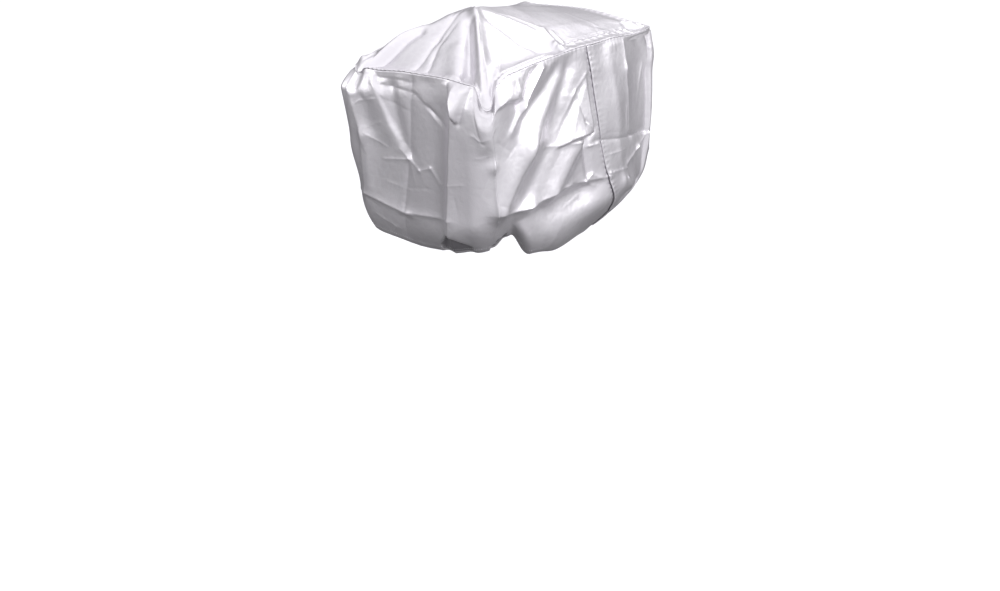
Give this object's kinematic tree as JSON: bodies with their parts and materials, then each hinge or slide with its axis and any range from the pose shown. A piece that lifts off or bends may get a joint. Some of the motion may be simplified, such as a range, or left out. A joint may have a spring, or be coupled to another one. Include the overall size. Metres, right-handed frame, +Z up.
{
  "type": "outboard motor cover",
  "caption": "Loose fitted cover in silver coated cloth for an outboard motor's cowling: a crowned top panel sewn to a hollow skirt whose hem is drawn in.",
  "frame": {"origin": "under the crown of the top panel, where the motor's cowling carries the cloth", "axes": "+X forward towards the boat, along the cover's length; +Z up; the closing seam is on the -Y side"},
  "size_m": [0.4815, 0.2965, 0.3945],
  "materials": {
    "silver_cloth": "satin, silver coated"
  },
  "bodies": {
    "root": {"top_panel": "silver_cloth", "skirt": "silver_cloth"}
  },
  "joints": []
}
